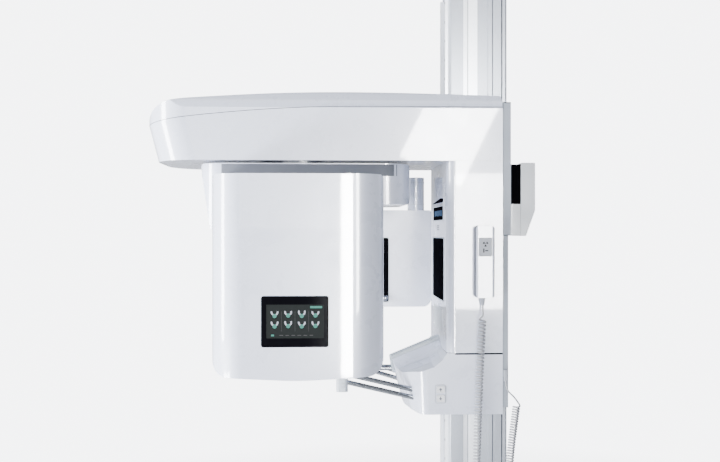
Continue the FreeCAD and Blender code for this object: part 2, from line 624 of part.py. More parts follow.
def build_tube_housing():
    shell = housing_solid(0).cut(housing_solid(SHELL))
    half = BEAM_HALF_X + 1
    shell = shell.cut(box(AXIS_X - half, AXIS_X + half, HOUSING_INNER_Y - SHELL - 1, -100,
                          BEAM_TUBE_Z - 1, BEAM_TUBE_TOP + 1))
    front_side = box(-900, -200, -400, HOUSING_SPLIT_Y, 1000, 1700)
    back_side = box(-900, -200, HOUSING_SPLIT_Y + GAP, -100, 1000, 1700)
    pocket = prism_y(rectangle(SCREEN_X0, SCREEN_X1, SCREEN_Z0, SCREEN_Z1, 6), -381, -370)
    keep("tube_housing_front", shell.common(front_side).cut(pocket))
    keep("tube_housing_back", shell.common(back_side))
    bezel = prism_y(rectangle(SCREEN_X0 + 0.3, SCREEN_X1 - 0.3, SCREEN_Z0 + 0.3, SCREEN_Z1 - 0.3, 5.7),
                    HOUSING_FACE_Y - 0.8, HOUSING_FACE_Y + 12)
    glass_area = rectangle(SCREEN_X0 + 14, SCREEN_X1 - 12, SCREEN_Z0 + 24, SCREEN_Z1 - 23, 1.5)
    bezel = bezel.cut(prism_y(glass_area, HOUSING_FACE_Y - 2, HOUSING_FACE_Y + 1))
    keep("screen_bezel", bezel)
    keep("screen_panel", prism_y(glass_area, HOUSING_FACE_Y - 0.6, HOUSING_FACE_Y + 1))


def build_tubehead():
    """Oil-filled can with the X-ray tube, and the motorised collimator in front of it."""
    x0, x1 = AXIS_X - 92, AXIS_X + 92
    can = rounded_block(x0, x1, -340, -232, 1232, 1500, 16.0)
    can = can.cut(rounded_block(x0 + 6, x1 - 6, -334, -238, 1238, 1494, 10.0))
    can = can.cut(cylinder(16, (AXIS_X, -240, BEAM_HEIGHT), (AXIS_X, -230, BEAM_HEIGHT)))
    keep("tubehead_can", can)
    glass = cylinder(21, (AXIS_X - 60, -286, BEAM_HEIGHT), (AXIS_X + 60, -286, BEAM_HEIGHT))
    glass = glass.cut(cylinder(18.5, (AXIS_X - 57, -286, BEAM_HEIGHT), (AXIS_X + 57, -286, BEAM_HEIGHT)))
    glass = glass.cut(cylinder(8, (AXIS_X + 50, -286, BEAM_HEIGHT), (AXIS_X + 61, -286, BEAM_HEIGHT)))
    keep("xray_tube_glass", glass)
    anode = cylinder(8, (AXIS_X + 8, -286, BEAM_HEIGHT), (AXIS_X + 80, -286, BEAM_HEIGHT))
    keep("tube_anode", anode)
    transformer = rounded_block(AXIS_X - 60, AXIS_X + 60, -325, -248, 1390, 1480, 6.0)
    keep("high_voltage_unit", transformer)
    plate = box(AXIS_X - 75, AXIS_X + 75, -231.8, -226, 1255, 1405)
    plate = plate.cut(box(AXIS_X - 14, AXIS_X + 14, -233, -225, BEAM_HEIGHT - 62, BEAM_HEIGHT + 62))
    keep("collimator_plate", plate)
    for label, side in (("left", -1), ("right", 1)):
        ends = sorted((AXIS_X + side * 12, AXIS_X + side * 52))
        blade = box(ends[0], ends[1], -225.6, -222, BEAM_HEIGHT - 66, BEAM_HEIGHT + 66)
        keep("collimator_blade_" + label, blade)


def build_sensor():
    x0, x1 = AXIS_X - 100, AXIS_X + 100
    y0, y1 = SENSOR_FACE_Y, 262.0
    z0, z1 = 1215.0, 1639.0
    body = rounded_block(x0, x1, y0, y1, z0, z1, 18.0)
    hollow = rounded_block(x0 + SHELL, x1 - SHELL, y0 + SHELL, y1 - SHELL, z0 + SHELL, z1 - SHELL, 14.5)
    shell = body.cut(hollow)
    middle = 230.0
    window = rectangle(AXIS_X - 16, AXIS_X + 16, BEAM_HEIGHT - 90, BEAM_HEIGHT + 90, 6)
    front = shell.common(box(-900, -200, 100, middle, 1100, 1700))
    keep("sensor_cover_front", front.cut(prism_y(window, y0 - 1, y0 + SHELL + 1)))
    keep("sensor_cover_back", shell.common(box(-900, -200, middle + GAP, 300, 1100, 1700)))
    pane = rectangle(AXIS_X - 15.8, AXIS_X + 15.8, BEAM_HEIGHT - 89.8, BEAM_HEIGHT + 89.8, 5.8)
    keep("sensor_window", prism_y(pane, y0 + 0.6, y0 + SHELL))
    board = box(AXIS_X - 70, AXIS_X + 70, y0 + 12, y0 + 26, BEAM_HEIGHT - 100, BEAM_HEIGHT + 100)
    keep("sensor_board", board)


# ---- handset and its curly cord -------------------------------------------------
HANDSET_X0, HANDSET_X1 = -34.0, 20.0
HANDSET_Y0, HANDSET_Y1 = -231.0, -206.0
HANDSET_Z0, HANDSET_Z1 = 1308.0, 1515.0
LEAD_R = 2.5
COIL_R = 12.0
CORD_X = -12.0
CORD_Y = -218.0
COIL_START_Z = 1251.0


def build_handset():
    body = rounded_block(HANDSET_X0, HANDSET_X1, HANDSET_Y0, HANDSET_Y1, HANDSET_Z0, HANDSET_Z1, 7.0)
    section = rectangle(HANDSET_X0, HANDSET_X1, HANDSET_Z0, HANDSET_Z1, 9.0)
    body = body.common(prism_y(section, HANDSET_Y0 - 1, HANDSET_Y1 + 1))
    key = rectangle(-26.4, 12.4, 1426.6, 1481.4, 5.4)
    body = body.cut(prism_y(key, HANDSET_Y0 - 1, HANDSET_Y0 + 8))
    hook_way = box(-16, 2, HANDSET_Y1 - 4.5, HANDSET_Y1 + 1, 1366, 1402)
    keep("handset_body", body.cut(hook_way))
    cap = rectangle(-26, 12, 1427, 1481, 5.0)
    keep("exposure_button", prism_y(cap, HANDSET_Y0 - 2.2, HANDSET_Y0 + 5.5))
    relief = Part.makeCone(7, 4, 22, V(CORD_X, CORD_Y, HANDSET_Z0), V(0, 0, -1))
    keep("handset_strain_relief", relief)
    cradle = prism_y(rectangle(-30, 16, 1350, 1440, 8), -HALF_WIDTH - 4, -HALF_WIDTH)
    hook = box(-15, 1, -209.6, -HALF_WIDTH - 4, 1382, 1386)
    hook = hook.fuse(box(-15, 1, -209.6, -207.6, 1386, 1398))
    keep("handset_cradle", cradle.fuse(hook).removeSplitter())


CORD_ROUTE = [
    (-12, -218, 1251), (-20, -218, 1125), (-26, -218, 960), (-32, -218, 780), (-38, -218, 611),
    (12, -216, 582), (62, -212, 611), (63, -210, 720), (68, -208, 836), (79, -207, 925),
    (90, -207, 1004),
]
CLIP_ROUTE = [
    (57, -207, 1066), (58, -207, 1048), (66, -207, 1032), (80, -207, 1021), (90, -207, 1004),
]


def cord_tube(name, route, radius):
    """Tube along straight runs joined by tangent arcs; prints its radii and its volume."""
    points = [V(*point) for point in route]
    edges = []
    start = points[0]
    bends = []
    for before, corner, after in zip(points, points[1:], points[2:]):
        back, ahead = before - corner, after - corner
        turn = math.pi - back.getAngle(ahead)
        reach = 0.45 * min(back.Length, ahead.Length)
        bend = reach / math.tan(turn / 2)
        bends.append(bend)
        back.normalize()
        ahead.normalize()
        inside = (back + ahead).normalize()
        middle = corner + inside * (bend / math.cos(turn / 2) - bend)
        first, last = corner + back * reach, corner + ahead * reach
        edges.append(Part.LineSegment(start, first).toShape())
        edges.append(Part.Arc(first, middle, last).toShape())
        start = last
    edges.append(Part.LineSegment(start, points[-1]).toShape())
    path = Part.Wire(edges)
    ring = Part.Wire(Part.Circle(points[0], points[1] - points[0], radius).toShape())
    solid = path.makePipeShell([ring], True, False)
    expected = math.pi * radius ** 2 * path.Length
    print(name, "radii", [round(bend) for bend in bends], "length", round(path.Length),
          "volume ratio", round(solid.Volume / expected, 4))
    return solid


def build_cord():
    lead_top = (CORD_X, CORD_Y, HANDSET_Z0 - 22)
    keep("cord_lead_handset", cylinder(LEAD_R, lead_top, (CORD_X, CORD_Y, COIL_START_Z)))
    keep("cord_coil", cord_tube("cord_coil", CORD_ROUTE, COIL_R))
    keep("cord_lead_clip", cord_tube("cord_lead_clip", CLIP_ROUTE, LEAD_R))
    clip = rounded_block(51, 63, -214, -HALF_WIDTH + 1, 1066, 1098, 3.0)
    keep("cord_clip", clip)


def main():
    os.makedirs("parts", exist_ok=True)
    build_column()
    build_lift()
    build_wall_bracket()
    build_carriage_frame()
    build_carriage_cover()
    build_rear_covers()
    build_lower_body()
    build_grips()
    build_chin_rest()
    build_light_panel()
    build_arm()
    build_stage()
    build_drive()
    build_rotor_core()
    build_tube_housing()
    build_tubehead()
    build_sensor()
    build_handset()
    build_cord()
    for name, shape in NODES.items():
        if not shape.isValid():
            print("invalid shape:", name)
        shape.exportStep("parts/" + name + ".step")
    print(len(NODES), "nodes")


main()
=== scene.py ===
"""Looks of the panoramic X-ray machine: materials, fine pieces, cord, stage, light and camera."""

import bmesh
import bpy
import json
import math
from mathutils import Matrix, Vector


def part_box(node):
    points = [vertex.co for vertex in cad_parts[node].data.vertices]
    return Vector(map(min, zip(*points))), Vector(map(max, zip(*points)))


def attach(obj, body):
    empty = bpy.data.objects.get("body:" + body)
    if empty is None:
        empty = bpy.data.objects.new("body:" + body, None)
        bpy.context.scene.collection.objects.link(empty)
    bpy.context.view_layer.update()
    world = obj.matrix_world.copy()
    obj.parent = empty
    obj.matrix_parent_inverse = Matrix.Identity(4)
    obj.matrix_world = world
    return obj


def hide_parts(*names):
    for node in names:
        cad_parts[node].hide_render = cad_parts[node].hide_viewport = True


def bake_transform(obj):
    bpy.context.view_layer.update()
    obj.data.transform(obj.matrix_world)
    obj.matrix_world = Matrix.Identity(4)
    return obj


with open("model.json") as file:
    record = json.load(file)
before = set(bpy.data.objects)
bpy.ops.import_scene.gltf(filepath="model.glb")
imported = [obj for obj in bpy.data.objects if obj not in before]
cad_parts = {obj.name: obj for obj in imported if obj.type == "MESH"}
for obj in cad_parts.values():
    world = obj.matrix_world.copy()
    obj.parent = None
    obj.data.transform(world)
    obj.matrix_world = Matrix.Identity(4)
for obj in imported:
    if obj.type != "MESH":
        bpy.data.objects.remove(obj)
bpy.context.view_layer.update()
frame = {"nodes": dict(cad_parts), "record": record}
NODES = frame["nodes"]
MM = 0.001


# ---- camera ---------------------------------------------------------------------
CAMERA_AT = Vector((-0.469, -2.65, 1.50))
CAMERA_TURN = math.radians(2.42)
LENS_MM = 42.5
SENSOR_MM = 36.0


def add_camera():
    data = bpy.data.cameras.new("camera")
    data.lens = LENS_MM
    data.sensor_width = SENSOR_MM
    camera = bpy.data.objects.new("camera", data)
    camera.location = CAMERA_AT
    camera.rotation_euler = (math.radians(90), 0, -CAMERA_TURN)
    bpy.context.scene.collection.objects.link(camera)
    bpy.context.scene.camera = camera


add_camera()


# ---- node helpers ---------------------------------------------------------------
NOISE_SPAN = (0.3, 0.7)       # most of a noise's values lie between these


def set_stops(ramp, stops):
    """Gives a colour ramp node its (place, colour) stops."""
    elements = ramp.color_ramp.elements
    while len(elements) < len(stops):
        elements.new(0.5)
    for element, (place, color) in zip(elements, stops):
        element.position = place
        element.color = (*color, 1.0)


class Graph:
    """A few short calls for building a node material."""

    def __init__(self, name):
        self.material = bpy.data.materials.new(name)
        self.material.use_nodes = True
        self.tree = self.material.node_tree
        self.shader = self.tree.nodes["Principled BSDF"]
        self.place = self.tree.nodes.new("ShaderNodeTexCoord").outputs["Object"]

    def node(self, kind, **values):
        node = self.tree.nodes.new(kind)
        for key, value in values.items():
            setattr(node, key, value)
        return node

    def link(self, output, socket):
        self.tree.links.new(output, socket)

    def set(self, **values):
        for key, value in values.items():
            self.shader.inputs[key.replace("_", " ")].default_value = value

    def noise(self, scale, detail=3.0, rough=0.5, stretch=(1, 1, 1)):
        mapping = self.node("ShaderNodeMapping")
        mapping.inputs["Scale"].default_value = stretch
        self.link(self.place, mapping.inputs["Vector"])
        noise = self.node("ShaderNodeTexNoise")
        noise.inputs["Scale"].default_value = scale
        noise.inputs["Detail"].default_value = detail
        noise.inputs["Roughness"].default_value = rough
        self.link(mapping.outputs["Vector"], noise.inputs["Vector"])
        return noise.outputs["Fac"]

    def ramp(self, factor, *stops):
        ramp = self.node("ShaderNodeValToRGB")
        set_stops(ramp, stops)
        self.link(factor, ramp.inputs["Fac"])
        return ramp.outputs["Color"]

    def map_range(self, value, ends, results):
        """Maps a number that lies between ends to one between results."""
        change = self.node("ShaderNodeMapRange")
        for socket, number in zip(("From Min", "From Max", "To Min", "To Max"), (*ends, *results)):
            change.inputs[socket].default_value = number
        self.link(value, change.inputs["Value"])
        return change.outputs["Result"]

    def tint(self, factor, *stops):
        self.link(self.ramp(factor, *stops), self.shader.inputs["Base Color"])

    def roughen(self, factor, low, high):
        """Roughness between low and high, following a noise."""
        self.link(self.map_range(factor, NOISE_SPAN, (low, high)), self.shader.inputs["Roughness"])

    def bump(self, factor, strength, distance):
        bump = self.node("ShaderNodeBump")
        bump.inputs["Strength"].default_value = strength
        bump.inputs["Distance"].default_value = distance
        self.link(factor, bump.inputs["Height"])
        self.link(bump.outputs["Normal"], self.shader.inputs["Normal"])


def shade(color, amount):
    return tuple(max(0.0, min(1.0, part * amount)) for part in color)


def plastic(name, color, rough, grain=900.0, strength=0.05, coat=0.0, vary=0.03, level=0.5):
    g = Graph(name)
    g.tint(g.noise(3.0, 4.0), (0.3, shade(color, 1 - vary)), (0.7, shade(color, 1 + vary)))
    g.roughen(g.noise(14.0, 5.0, 0.6), rough * 0.85, rough * 1.2)
    g.bump(g.noise(grain, 2.0), strength, 0.0004)
    g.set(Coat_Weight=coat, Coat_Roughness=0.04, Specular_IOR_Level=level)
    return g.material


def metal(name, color, rough, stretch=(1, 1, 60), grain=160.0, strength=0.06):
    g = Graph(name)
    lines = g.noise(grain, 3.0, 0.6, stretch)
    g.tint(lines, (0.35, shade(color, 0.93)), (0.65, shade(color, 1.05)))
    g.roughen(lines, rough * 0.8, rough * 1.25)
    g.bump(lines, strength, 0.0002)
    g.set(Metallic=1.0)
    return g.material


def anodised(name, color):
    """Satin drawn aluminium: fine lines along the column, part metal and part clear film."""
    g = Graph(name)
    lines = g.noise(40.0, 3.0, 0.6, (60, 60, 1))
    g.tint(lines, (0.35, shade(color, 0.94)), (0.65, shade(color, 1.06)))
    g.roughen(lines, 0.26, 0.38)
    g.bump(lines, 0.04, 0.0002)
    g.set(Metallic=0.35, Coat_Weight=0.3, Coat_Roughness=0.2)
    return g.material


def dark_glass(name, color, level):
    """Near-black glass with a low reflection and faint smears."""
    g = Graph(name)
    smears = g.noise(9.0, 4.0, 0.6, (1, 1, 0.3))
    g.tint(smears, (0.3, color), (0.7, shade(color, 1.6)))
    g.roughen(smears, 0.06, 0.12)
    g.set(Specular_IOR_Level=level)
    return g.material


def glow(name, color, strength, level=0.5):
    """Lit sign: the same tint as colour and as light."""
    g = Graph(name)
    tint = g.ramp(g.noise(300.0), (0.3, shade(color, 0.9)), (0.7, shade(color, 1.1)))
    g.link(tint, g.shader.inputs["Base Color"])
    g.link(tint, g.shader.inputs["Emission Color"])
    g.set(Emission_Strength=strength, Roughness=0.3, Specular_IOR_Level=level)
    return g.material


WHITE = (0.53, 0.57, 0.685)
MATERIALS = {
    "white_shell": plastic("white_shell", WHITE, 0.28, coat=1.0, strength=0.012, vary=0.012),
    "column_metal": anodised("column_metal", (0.29, 0.315, 0.36)),
    # pale copy of the column metal: a painted highlight on the column's recess panels, and the lift rails'
    # pale tone
    "pale_and_highlight_metal": anodised("pale_and_highlight_metal", (0.80, 0.83, 0.88)),
    "machined_steel": metal("machined_steel", (0.55, 0.56, 0.58), 0.30),
    "painted_steel": plastic("painted_steel", (0.36, 0.40, 0.45), 0.35, 500.0, 0.12, coat=0.3),
    "chrome": metal("chrome", (0.20, 0.215, 0.24), 0.14, (1, 1, 1), 90.0, 0.01),
    "black_glass": dark_glass("black_glass", (0.002, 0.002, 0.003), 0.02),
    "mirror_glass": dark_glass("mirror_glass", (0.002, 0.002, 0.003), 0.0),
    "grey_trim": plastic("grey_trim", (0.42, 0.46, 0.51), 0.45, 700.0, 0.12),
    "soft_pad": plastic("soft_pad", (0.28, 0.32, 0.36), 0.6, 450.0, 0.3),
    "black_trim": plastic("black_trim", (0.003, 0.003, 0.004), 0.5, 600.0, 0.2, vary=0.15, level=0.0),
    "copper": metal("copper", (0.72, 0.40, 0.24), 0.3),
    "board": plastic("board", (0.02, 0.16, 0.08), 0.35, 200.0, 0.4, vary=0.2),
    "cord_grey": plastic("cord_grey", (0.27, 0.28, 0.31), 0.36, 500.0, 0.1, coat=0.1),
    "screen_image": plastic("screen_image", (0.014, 0.016, 0.016), 0.2, vary=0.1, level=0.0),
    "teal_glow": glow("teal_glow", (0.035, 0.115, 0.095), 1.0, 0.0),
    "blue_glow": glow("blue_glow", (0.05, 0.085, 0.15), 1.0, 0.0),
    "line_grey": plastic("line_grey", (0.05, 0.05, 0.052), 0.5, vary=0.1, level=0.0),
    "dark_print": plastic("dark_print", (0.02, 0.02, 0.025), 0.5, vary=0.1, level=0.1),
    # painted shade on the rotor cover's band, the hand switch's sides and the column's channels; also the
    # print of the key arrows
    "shade_and_print_grey": plastic("shade_and_print_grey", (0.13, 0.14, 0.165), 0.6, vary=0.08, level=0.05),
    "trim_grey": plastic("trim_grey", (0.27, 0.30, 0.35), 0.5, vary=0.03, level=0.1),
    "key_grey": plastic("key_grey", (0.28, 0.30, 0.345), 0.4, vary=0.03, level=0.1),
    "light_grey": plastic("light_grey", (0.52, 0.54, 0.58), 0.4, vary=0.03),
}


def tube_glass():
    g = Graph("tube_glass")
    g.tint(g.noise(20.0), (0.3, (0.85, 0.90, 0.92)), (0.7, (0.95, 0.98, 1.0)))
    g.set(Transmission_Weight=1.0, Roughness=0.03, IOR=1.47)
    return g.material


MATERIALS["tube_glass"] = tube_glass()


def paint(piece, name):
    piece.data.materials.clear()
    piece.data.materials.append(MATERIALS[name])


for subpart in frame["record"]["subparts"]:
    paint(NODES[subpart["node"]], subpart["material_slot"])


# ---- places shared by several pieces, in millimetres ----------------------------
HALF_WIDTH = 200.0            # of the arm and the carriage
SIDE_END_X = 50.0             # where their sides end, towards the wall
FRONT_X = -112.0              # the carriage's face, towards the patient
MARK_DEPTH = 0.15             # of what is printed on keys, scales and displays


# ---- geometry helpers -----------------------------------------------------------
SHARP_ANGLE = math.radians(35)
MERGE_DISTANCE = 1e-6
BEAD_ROOT = 0.3               # how far a bead's foot is below its surface
# each plane is (across, up, outwards) for a surface that faces that way
FACING = {
    "front": (Vector((1, 0, 0)), Vector((0, 0, 1)), Vector((0, -1, 0))),
    "back": (Vector((-1, 0, 0)), Vector((0, 0, 1)), Vector((0, 1, 0))),
    "patient": (Vector((0, -1, 0)), Vector((0, 0, 1)), Vector((-1, 0, 0))),
    "wall": (Vector((0, 1, 0)), Vector((0, 0, 1)), Vector((1, 0, 0))),
    "top": (Vector((1, 0, 0)), Vector((0, 1, 0)), Vector((0, 0, 1))),
    "under": (Vector((1, 0, 0)), Vector((0, -1, 0)), Vector((0, 0, -1))),
}


def add_piece(name, bm, body, finish, smooth=True):
    """Turns a bmesh into a piece that rides on body and has the finish's material."""
    bmesh.ops.remove_doubles(bm, verts=bm.verts, dist=MERGE_DISTANCE)
    bmesh.ops.recalc_face_normals(bm, faces=bm.faces)
    data = bpy.data.meshes.new(name)
    bm.to_mesh(data)
    bm.free()
    piece = bpy.data.objects.new(name, data)
    bpy.context.scene.collection.objects.link(piece)
    if smooth:
        data.shade_smooth()
        data.set_sharp_from_angle(angle=SHARP_ANGLE)
    paint(piece, finish)
    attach(piece, body)
    return piece


def rounded(u0, u1, v0, v1, radius, steps=5):
    """Outline of a rectangle with round corners, counter-clockwise."""
    points = []
    corners = ((u1 - radius, v1 - radius, 0), (u0 + radius, v1 - radius, 90),
               (u0 + radius, v0 + radius, 180), (u1 - radius, v0 + radius, 270))
    for u, v, start in corners:
        for i in range(steps + 1):
            angle = math.radians(start + 90 * i / steps)
            points.append((u + radius * math.cos(angle), v + radius * math.sin(angle)))
    return points


def ring(u, v, radius, steps=24, start=0.0, sweep=360.0):
    """Outline of a circle, or the points of a part of it, round (u, v)."""
    count = steps if sweep == 360.0 else steps + 1
    angles = [math.radians(start + sweep * i / steps) for i in range(count)]
    return [(u + radius * math.cos(a), v + radius * math.sin(a)) for a in angles]


def sector(v, inner, outer, steps, start, sweep):
    """Outline of a part of a flat ring round the point (0, v)."""
    return ring(0, v, outer, steps, start, sweep) + ring(0, v, inner, steps, start, sweep)[::-1]


def on_face(facing, at, u, v, height):
    """The point (u, v) on a surface that faces that way, height above it, in metres."""
    across, up, out = FACING[facing]
    return (across * u + up * v + out * height) * MM + Vector(at) * MM


def bridge(bm, rows, ends=True):
    """Faces between each row of points and the next, and over both ends."""
    count = len(rows[0])
    for low, high in zip(rows, rows[1:]):
        for i in range(count):
            k = (i + 1) % count
            bm.faces.new((low[i], low[k], high[k], high[i]))
    if ends:
        bm.faces.new(rows[0][::-1])
        bm.faces.new(rows[-1])


def slab(bm, outline, facing, at, depth, chamfer=0.0):
    """Plate with a chamfered front edge. at is where its back lies; sizes are in millimetres."""
    middle_u = sum(u for u, _ in outline) / len(outline)
    middle_v = sum(v for _, v in outline) / len(outline)
    reach = max(max(abs(u - middle_u), abs(v - middle_v)) for u, v in outline)
    levels = [(0.0, 1.0), (depth, 1.0)]
    if chamfer:
        levels = [(0.0, 1.0), (depth - chamfer, 1.0), (depth, 1 - chamfer / reach)]
    rows = []
    for height, scale in levels:
        rows.append([bm.verts.new(on_face(facing, at, middle_u + (u - middle_u) * scale,
                                          middle_v + (v - middle_v) * scale, height))
                     for u, v in outline])
    bridge(bm, rows)


def frame_band(bm, outer, inner, facing, at, depth):
    """Flat frame between two outlines with the same number of points."""
    rows = [[bm.verts.new(on_face(facing, at, u, v, height)) for u, v in outline]
            for outline, height in ((outer, 0), (outer, depth), (inner, depth), (inner, 0))]
    bridge(bm, rows + rows[:1], ends=False)


def lathe(bm, profile, facing, at, sides=32, socket_rows=0):
    """Turned shape from (radius, height) steps; the last socket_rows of them are hexagons."""
    rows = []
    for k, (radius, height) in enumerate(profile):
        row = []
        for i in range(sides):
            angle = math.tau * i / sides
            reach = radius
            if k >= len(profile) - socket_rows:
                reach = radius / math.cos((angle % (math.pi / 3)) - math.pi / 6)
            u, v = reach * math.cos(angle), reach * math.sin(angle)
            row.append(bm.verts.new(on_face(facing, at, u, v, height)))
        rows.append(row)
    bridge(bm, rows)


def socket_screw(bm, facing, at, radius, height):
    """Cap screw with a hexagon socket, standing on a surface at the point at."""
    lathe(bm, [(radius * 1.5, 0), (radius * 1.5, 1.0), (radius * 1.02, 1.2), (radius, height * 0.85),
               (radius * 0.9, height), (radius * 0.5, height), (radius * 0.5, height * 0.45)],
          facing, at, 24, 2)


def flat_screw(bm, facing, at, radius):
    """Low round-headed screw with a hexagon socket."""
    lathe(bm, [(radius, 0), (radius * 0.94, 0.8), (radius * 0.7, 1.5), (radius * 0.45, 1.7),
               (radius * 0.45, 0.5)], facing, at, 24, 2)


def add_flat_screws(name, body, facing, spots, radius):
    """Piece with a low screw at each spot."""
    bm = bmesh.new()
    for spot in spots:
        flat_screw(bm, facing, spot, radius)
    add_piece(name, bm, body, "machined_steel")


def ribbon(bm, path, normals, half_width, height):
    """Narrow bead along a line on a surface, with its own outward normals."""
    rows = []
    last = len(path) - 1
    section = ((-half_width, -BEAD_ROOT), (-half_width, height),
               (half_width, height), (half_width, -BEAD_ROOT))
    for i, (point, normal) in enumerate(zip(path, normals)):
        along = (path[min(i + 1, last)] - path[max(i - 1, 0)]).normalized()
        side = along.cross(normal).normalized()
        rows.append([bm.verts.new((point + side * s + normal * h) * MM) for s, h in section])
    bridge(bm, rows)


def band_round(bm, outline, facing, offset, half_width, height):
    """Bead round a closed outline that is seen from facing, offset along that way."""
    across, up, out = FACING[facing]
    path = [across * u + up * v + out * offset for u, v in outline]
    before, after = outline[-1:] + outline[:-1], outline[1:] + outline[:1]
    normals = [(across * (v1 - v0) + up * (u0 - u1)).normalized()
               for (u0, v0), (u1, v1) in zip(before, after)]
    ribbon(bm, path + path[:1], normals + normals[:1], half_width, height)


def corners_of(node):
    """The node's box in millimetres."""
    low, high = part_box(node)
    return Vector(low) / MM, Vector(high) / MM


# ---- hand switch cord -----------------------------------------------------------
WIRE_RADIUS = 2.5
COIL_RADIUS = 9.4             # to the wire's middle
COIL_PITCHES = (10.6, 7.2)    # at the hand switch, where it hangs under tension, and at the clip
TURN_POINTS = 14
END_POINTS = 7                # points over which an end turn is drawn out
END_STRETCH = 7.0             # how much further apart the first of them are
LEAD_OUT = [(-12, -218, 1286), (-12, -218, 1274)]
COIL_ROUTE = [
    (-12, -218, 1257), (-20, -218, 1125), (-26, -218, 960), (-32, -218, 780), (-38, -218, 611),
    (12, -216, 582), (62, -212, 611), (63, -210, 720), (68, -208, 836), (79, -207, 925),
    (90, -207, 1004),
]
CLIP_ROUTE = [(80, -207, 1021), (66, -207, 1032), (58, -207, 1048), (57, -207, 1066)]
ROUTE_STEPS = 24              # points between two control points of the coil's middle line
WIRE_STEPS = 3


def spline_curve(name, route, radius=0.0, sides=4):
    """NURBS curve through the air with the route's points, in millimetres, as control points."""
    data = bpy.data.curves.new(name, "CURVE")
    data.dimensions = "3D"
    data.bevel_depth = radius * MM
    data.bevel_resolution = sides
    data.use_fill_caps = radius > 0
    spline = data.splines.new("NURBS")
    spline.points.add(len(route) - 1)
    for spot, point in zip(route, spline.points):
        point.co = (*(Vector(spot) * MM), 1.0)
    spline.order_u = 3
    spline.use_endpoint_u = True
    return bpy.data.objects.new(name, data)


def line_of(route, resolution):
    """Points of the route's own NURBS line, in millimetres."""
    curve = spline_curve("line", route)
    curve.data.resolution_u = resolution
    bpy.context.scene.collection.objects.link(curve)
    data = bpy.data.meshes.new_from_object(curve)
    points = [v.co / MM for v in data.vertices]
    bpy.data.objects.remove(curve)
    bpy.data.meshes.remove(data)
    return points


def length_of(points):
    return sum((b - a).length for a, b in zip(points, points[1:]))


def walk(points, places):
    """(point, direction) pairs at the given distances along a line."""
    pairs = []
    gone = 0.0
    for a, b in zip(points, points[1:]):
        run = (b - a).length
        along = (b - a).normalized()
        while len(pairs) < len(places) and places[len(pairs)] < gone + run:
            pairs.append((a + along * (places[len(pairs)] - gone), along))
        gone += run
    return pairs


def coil_places(length):
    """Distances of the wire's points along the coil; the end turns are drawn out."""
    first, last = (pitch / TURN_POINTS for pitch in COIL_PITCHES)
    drawn = [last * END_STRETCH * (1 - k / END_POINTS) ** 2 for k in range(END_POINTS)]
    count = round((length - 2 * sum(drawn)) * 2 / (first + last))
    steps = [first + (last - first) * i / count for i in range(count)]
    for k, extra in enumerate(drawn):
        steps[k] += extra
        steps[-1 - k] += extra
    places = [0.0]
    for step in steps[:-1]:
        places.append(places[-1] + step)
    return places


def helix_points(points):
    """The wire's line: turns round the coil's middle line."""
    side = Vector((0, -1, 0))
    wire = []
    for i, (spot, along) in enumerate(walk(points, coil_places(length_of(points)))):
        side = (side - along * side.dot(along)).normalized()
        other = along.cross(side)
        angle = math.tau * i / TURN_POINTS
        wire.append(spot + (side * math.cos(angle) + other * math.sin(angle)) * COIL_RADIUS)
    return wire


def add_cord():
    coil = helix_points(line_of(COIL_ROUTE, ROUTE_STEPS))
    route = [Vector(p) for p in LEAD_OUT] + coil + [Vector(p) for p in CLIP_ROUTE]
    path = line_of(route, WIRE_STEPS)
    bevelled = spline_curve("cord_shape", route, WIRE_RADIUS, 2)
    bevelled.data.resolution_u = 2
    bpy.context.scene.collection.objects.link(bevelled)
    data = bpy.data.meshes.new_from_object(bevelled)
    bpy.data.objects.remove(bevelled)
    data.name = "hand_switch_cord"
    data.shade_smooth()
    cord = bpy.data.objects.new("hand_switch_cord", data)
    bpy.context.scene.collection.objects.link(cord)
    paint(cord, "cord_grey")
    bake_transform(cord)
    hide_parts("cord_lead_handset", "cord_coil", "cord_lead_clip")


add_cord()


# ---- touch screen ---------------------------------------------------------------
# tiles, as parts of the screen's width and height: middle of the first column and of the top row,
# distance to the next, and half a tile as a part of that distance
FIRST_TILE_U, TOP_TILE_V = 0.145, 0.73
TILE_STEP_U, TILE_STEP_V = 0.235, 0.31
TILE_HALF_U, TILE_HALF_V = 0.44, 0.46
TILE_DEPTH = 0.05
ARCH_V, ARCH_RADII = 4.5, (6.0, 10.2)
ARCH_SPAN, ARCH_SPAN_STEP = 205, 12    # degrees, and how much more on some tiles
DISC_V, DISC_RADIUS, DISC_DEPTH = -6.0, 5.6, 0.14
SIGN_DEPTH = 0.12
LINE_DEPTH = 0.1


